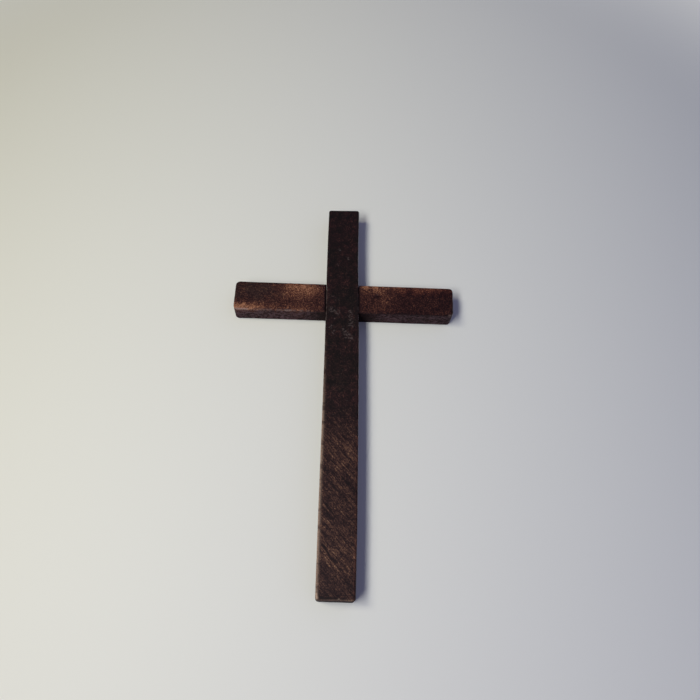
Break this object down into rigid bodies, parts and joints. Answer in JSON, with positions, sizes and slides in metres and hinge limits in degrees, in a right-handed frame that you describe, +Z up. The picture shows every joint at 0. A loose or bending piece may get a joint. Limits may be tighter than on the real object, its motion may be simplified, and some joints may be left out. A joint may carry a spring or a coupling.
{
  "type": "wall cross",
  "caption": "Plain dark-stained wooden wall cross: a long post half-lapped over a shorter crossbar, with a nail hole in the back.",
  "frame": {"origin": "on the back, against the wall, where the centre lines of the post and the crossbar cross", "axes": "+Z up along the post, +X along the crossbar to the right as seen from the front, +Y into the wall"},
  "size_m": [0.1351, 0.012, 0.2405],
  "materials": {
    "post_wood": "dark walnut stain, satin, sanded",
    "crossbar_wood": "dark walnut stain worn reddish, satin, sanded"
  },
  "bodies": {
    "root": {"post": "post_wood", "crossbar": "crossbar_wood"}
  },
  "joints": []
}
